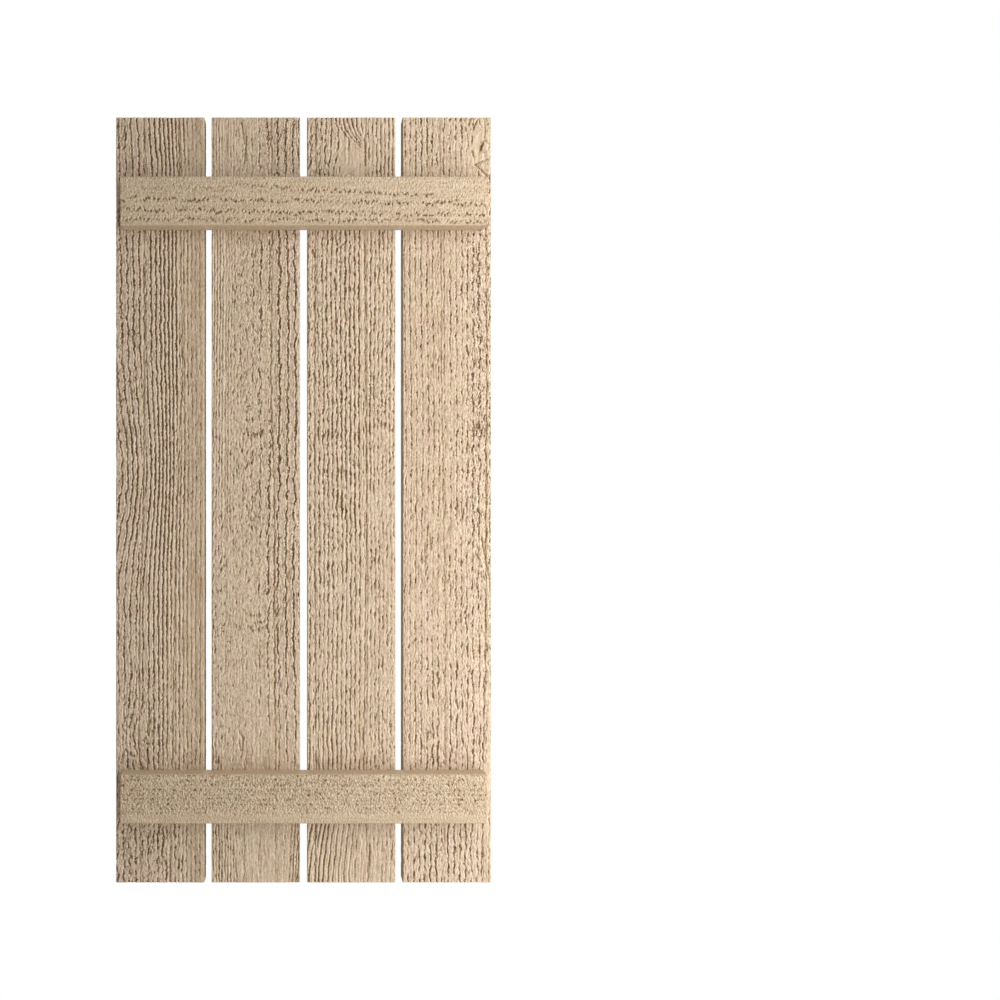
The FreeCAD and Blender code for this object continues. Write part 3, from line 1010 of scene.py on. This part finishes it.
def from_line(finish, ragged):
    """The distance in mm from the middle of the nearest grain line, which wiggles and strays
    more where it is ragged."""
    wiggle = finish.clouded(scale=300, stretch=(1, 1, 0.9), over=(0.3, 0.7), to=(-2.7, 2.7))
    spacing = finish.layer("spacing")
    stray = finish.maths("DIVIDE", finish.maths("MULTIPLY", wiggle, ragged), spacing)
    rings = finish.maths("ADD", finish.layer("rings"), stray)
    aside = finish.maths("SUBTRACT", rings, finish.maths("ROUND", rings))
    return finish.maths("MULTIPLY", finish.maths("ABSOLUTE", aside), spacing)


def painted_groove_shade(finish, away, boldness, ragged):
    """How deep the painted shade of a board lies: in the cores of its grain lines, its flecks and marks,
    torn by fine noise, and in small pits."""
    reach = finish.maths("MULTIPLY_ADD", boldness, CORE_REACH_OF_BOLD, CORE_REACH)
    core = finish.spread(away, reach, CORE_EDGE, ease="SMOOTHSTEP")
    worn = finish.maths("MULTIPLY_ADD", core, boldness, finish.layer("flecks"))
    worn = finish.spread(worn, *WEAR_AND_SHADE_RANGE, ease="SMOOTHSTEP")
    worn = finish.maths("MAXIMUM", worn, finish.layer("marks"))
    torn = finish.clouded(scale=560, stretch=(1, 1, 0.9), over=(0.35, 0.65), to=(0.5, 1.4), detail=2)
    pits = finish.clouded(scale=340, stretch=(1, 1, 0.45), over=(0.6, 0.68), to=(0, 0.8), detail=2)
    worn = finish.maths("MULTIPLY", worn, torn)
    return finish.maths("MAXIMUM", worn, finish.maths("MULTIPLY", pits, ragged))


def board_finish():
    """Matte tan primer over a board's worn grain: painted shade in the core of each grain line and a
    painted highlight on its lip, torn by fine fibres."""
    finish = Finish("primed_board", PRIMER_ROUGHNESS, PRIMER_SPECULAR)
    boldness = finish.layer("boldness")
    ragged = finish.maths("MULTIPLY_ADD", finish.layer("ragged"), RAGGED_SHARE, LEAST_RAGGED)
    away = from_line(finish, ragged)
    # worn is the painted shade in the grooves, flecks, marks and pits, which darkens the tone
    worn = painted_groove_shade(finish, away, boldness, ragged)
    tone = finish.maths("MULTIPLY_ADD", finish.maths("POWER", worn, GROOVE_SHADE_POWER), GROOVE_SHADE_TONE, LEAST_TONE)
    tone = finish.maths("ADD", tone, finish.layer("shade"))
    fibres = finish.clouded(scale=420, stretch=(1, 1, 0.6), over=(0.3, 0.7), to=(-0.26, 0.26))
    share = finish.spread(ragged, low=0.2, high=0.9, to_low=0.5, to_high=1.1)
    tone = finish.maths("MULTIPLY_ADD", fibres, share, tone)
    fibres = finish.clouded(scale=260, stretch=(1, 1, 0.14), over=(0.3, 0.7), to=(-0.3, 0.3))
    share = finish.spread(ragged, low=0.2, high=0.8, to_low=0.7, to_high=0)
    tone = finish.maths("MULTIPLY_ADD", fibres, share, tone)
    # A painted highlight on the lip beside each grain line, stronger where the line is bold
    rise = finish.spread(away, *LIP_HIGHLIGHT_RISE, ease="SMOOTHSTEP")
    lip = finish.maths("MULTIPLY", rise, finish.spread(away, *LIP_HIGHLIGHT_FALL, ease="SMOOTHSTEP"))
    lip = finish.maths("MULTIPLY", finish.maths("MULTIPLY", lip, boldness), LIP_HIGHLIGHT_TONE)
    tone = finish.maths("SUBTRACT", tone, lip)
    streaks = finish.clouded(scale=150, stretch=(1, 1, 0.12), over=(0.5, 0.75), to=(0, 0.25))
    primed_colour(finish, tone, streaks, (OLIVE_CAST, PINK_CAST))
    finish.relief(tone, strength=0.8, distance=GRAIN_RELIEF)
    return finish.material


def batten_finish():
    """Matte tan primer over a batten's stippled and pitted face, with painted shade where its fine
    mottling sinks and a painted highlight where it rises.
    """
    finish = Finish("primed_batten", PRIMER_ROUGHNESS, PRIMER_SPECULAR)
    ragged = finish.noise(scale=340, stretch=(1.1, 1, 0.85), detail=2)
    rough = finish.layer("rough")
    # Painted shade and highlight that follow the sunk and raised mottling of the bump
    mottling = finish.spread(ragged, low=0.3, high=0.7, to_low=-0.2, to_high=0.32)
    tone = finish.maths("MULTIPLY_ADD", mottling, rough, finish.layer("tone"))
    primed_colour(finish, tone, 0.0, (OLIVE_CAST, WARM_CAST))
    mottled = finish.maths("MULTIPLY", ragged, rough)
    finish.relief(mottled, strength=1.0, distance=STIPPLE_RELIEF)
    return finish.material


def sawn_finish():
    """The primed flat of the backs and the square-cut ends: grain that shows through along the
    boards, with faint marks of the saw straight across it here and there."""
    finish = Finish("primed_sawn", SAWN_ROUGHNESS, PRIMER_SPECULAR)
    here = finish.clouded(scale=9, stretch=(1, 1, 0.6), over=(0.5, 0.7), to=(0, 0.8))
    saw_marks = finish.clouded(scale=240, stretch=(0.06, 1, 1), over=(0.4, 0.6), to=(-0.1, 0.1), detail=2)
    fine = finish.clouded(scale=210, stretch=(1, 1, 0.03), over=(0.35, 0.65), to=(-0.15, 0.2), detail=2)
    broad = finish.clouded(scale=60, stretch=(1, 1, 0.045), over=(0.3, 0.7), to=(-0.2, 0.25))
    pores = finish.clouded(scale=560, stretch=(1, 1, 0.06), over=(0.56, 0.72), to=(0, 0.3), detail=2)
    grain = finish.maths("ADD", fine, broad)
    tone = finish.maths("ADD", grain, finish.maths("ADD", pores, SAWN_TONE))
    tone = finish.maths("MULTIPLY_ADD", saw_marks, here, tone)
    streaks = finish.clouded(scale=90, stretch=(1, 1, 0.1), over=(0.5, 0.75), to=(0, 0.2))
    primed_colour(finish, tone, streaks, (OLIVE_CAST, PINK_CAST))
    finish.relief(tone, strength=0.7, distance=GRAIN_RELIEF)
    return finish.material


def screw_steel():
    """Plain zinc-plated steel with a faintly clouded plating."""
    finish = Finish("zinc_plated_steel", roughness=0.35, specular=0.5)
    clouding = finish.noise(scale=700)
    finish.drive("Base Color", finish.mixed("MIX", clouding, LIGHT_ZINC, DARK_ZINC))
    finish.drive("Roughness", finish.spread(clouding, 0.3, 0.7, *ZINC_ROUGHNESS))
    finish.shader.inputs["Metallic"].default_value = 1.0
    return finish.material


def hole_places(board):
    """Where the screws that pass through a board are, on its back."""
    low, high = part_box(board)
    boxes = [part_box(screw) for screw in SCREWS]
    centres = [((near[0] + far[0]) / 2, (near[2] + far[2]) / 2) for near, far in boxes]
    return [(x, z) for x, z in centres if low[0] < x < high[0]]


def make_board(node, finishes):
    """One board with its worn face."""
    bar = Bar(node, BOARD_ROW_STEP)
    mesh = worn_skin(bar, *wear_board(bar, BOARD_GRAIN[node]))
    close_ends_and_back(mesh, bar, hole_places(node))
    finish_piece(node, mesh, finishes)


def make_batten(node, finishes):
    """One batten with its pitted face."""
    bar = Bar(node, BATTEN_ROW_STEP)
    mesh = worn_skin(bar, *wear_batten(bar, BATTEN_PITTING[node]))
    close_ends_and_back(mesh, bar, [])
    finish_piece(node, mesh, finishes)


def finish_screws():
    """The CAD screws keep their shape and get their plating."""
    steel = screw_steel()
    for screw in SCREWS:
        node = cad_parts[screw]
        for slot in node.material_slots:
            slot.material = steel


def blend_shaders(tree, output, share, first, second):
    """Sends a blend of two shaders to the output of a material or a world."""
    mix = tree.nodes.new("ShaderNodeMixShader")
    tree.links.new(share, mix.inputs[0])
    tree.links.new(first.outputs[0], mix.inputs[1])
    tree.links.new(second.outputs[0], mix.inputs[2])
    tree.links.new(mix.outputs[0], tree.nodes[output].inputs["Surface"])


def floor_finish():
    """A pale grey that turns to plain white for the camera further out."""
    finish = Finish("pale_floor", FLOOR_ROUGHNESS, specular=0.5)
    finish.shader.inputs["Base Color"].default_value = FLOOR_GREY
    away = finish.nodes.new("ShaderNodeVectorMath")
    away.operation = "LENGTH"
    finish.links.new(finish.place, away.inputs[0])
    white = finish.spread(away.outputs["Value"], *FLOOR_FADE, to_low=FLOOR_WHITE_NEAR_BY)
    camera_rays = finish.nodes.new("ShaderNodeLightPath").outputs["Is Camera Ray"]
    white = finish.maths("MULTIPLY", camera_rays, white)
    glow = finish.nodes.new("ShaderNodeEmission")
    blend_shaders(finish.material.node_tree, "Material Output", white, finish.shader, glow)
    return finish.material


def make_floor(low, high):
    """A plain pale floor as far below the shutter as it hangs above the ground beside a window.
    It takes the shutter's shadow near by and fades to plain white further out."""
    data = bpy.data.meshes.new("floor")
    mesh = bmesh.new()
    bmesh.ops.create_grid(mesh, x_segments=1, y_segments=1, size=FLOOR_REACH)
    mesh.to_mesh(data)
    mesh.free()
    floor = add_object("floor", data)
    floor.location = ((low[0] + high[0]) / 2, low[1] - FLOOR_FORWARD, low[2] - FLOOR_DROP)
    data.materials.append(floor_finish())


def soft_lamp(name, size, watts, place):
    """A rectangular lamp, hung in place."""
    lamp = bpy.data.lights.new(name, "AREA")
    lamp.shape = "RECTANGLE"
    lamp.size, lamp.size_y = size
    lamp.energy = watts
    hung = add_object(name, lamp)
    hung.location = place
    return hung


def make_lamps(low, high):
    """A tall soft key from the right, level with the shutter, and a weak one straight behind
    for the back."""
    centre = (Vector(low) + Vector(high)) / 2
    key = soft_lamp("key", KEY_SIZE, KEY_WATTS, centre + Vector(KEY_FROM_CENTRE))
    key.rotation_mode = "QUATERNION"
    key.rotation_quaternion = (centre - key.location).to_track_quat("-Z", "Y")
    rear = soft_lamp("rear", REAR_SIZE, REAR_WATTS, centre + Vector(REAR_FROM_CENTRE))
    rear.rotation_euler = (-math.pi / 2, 0, 0)


def make_white_room():
    """Even white light all round, which the camera sees as plain white, in gloss as well."""
    world = bpy.data.worlds.new("white_room")
    world.use_nodes = True
    tree = world.node_tree
    fill = tree.nodes["Background"]
    fill.inputs["Color"].default_value = WHITE
    fill.inputs["Strength"].default_value = FILL_STRENGTH
    white = tree.nodes.new("ShaderNodeBackground")
    white.inputs["Color"].default_value = WHITE
    rays = tree.nodes.new("ShaderNodeLightPath")
    seen = rays.outputs["Is Camera Ray"]
    for kind in ("Is Glossy Ray", "Is Transmission Ray"):
        either = tree.nodes.new("ShaderNodeMath")
        either.operation = "MAXIMUM"
        tree.links.new(seen, either.inputs[0])
        tree.links.new(rays.outputs[kind], either.inputs[1])
        seen = either.outputs[0]
    blend_shaders(tree, "World Output", seen, fill, white)
    bpy.context.scene.world = world


def make_camera():
    """Square on to the shutter's middle, shifted so that it stands left in the picture."""
    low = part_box(BOARDS[0])[0]
    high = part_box(BOARDS[-1])[1]
    data = bpy.data.cameras.new("camera")
    data.sensor_width = SENSOR_WIDTH_MM
    data.lens = SENSOR_WIDTH_MM * CAMERA_TO_BOARDS / VIEW_WIDTH_AT_BOARDS
    data.shift_x = VIEW_SHIFT
    camera = add_object("camera", data)
    middle_x, middle_z = (low[0] + high[0]) / 2, (low[2] + high[2]) / 2
    camera.location = (middle_x, low[1] - CAMERA_TO_BOARDS, middle_z)
    camera.rotation_euler = (math.pi / 2, 0, 0)
    bpy.context.scene.camera = camera


sawn = sawn_finish()
board_face = board_finish()
batten_face = batten_finish()
for board in BOARDS:
    make_board(board, [board_face, sawn])
for batten in BATTENS:
    make_batten(batten, [batten_face, sawn])
finish_screws()
make_floor(*cad_box)
make_lamps(*cad_box)
make_white_room()
make_camera()
bpy.context.scene.view_settings.view_transform = "Standard"
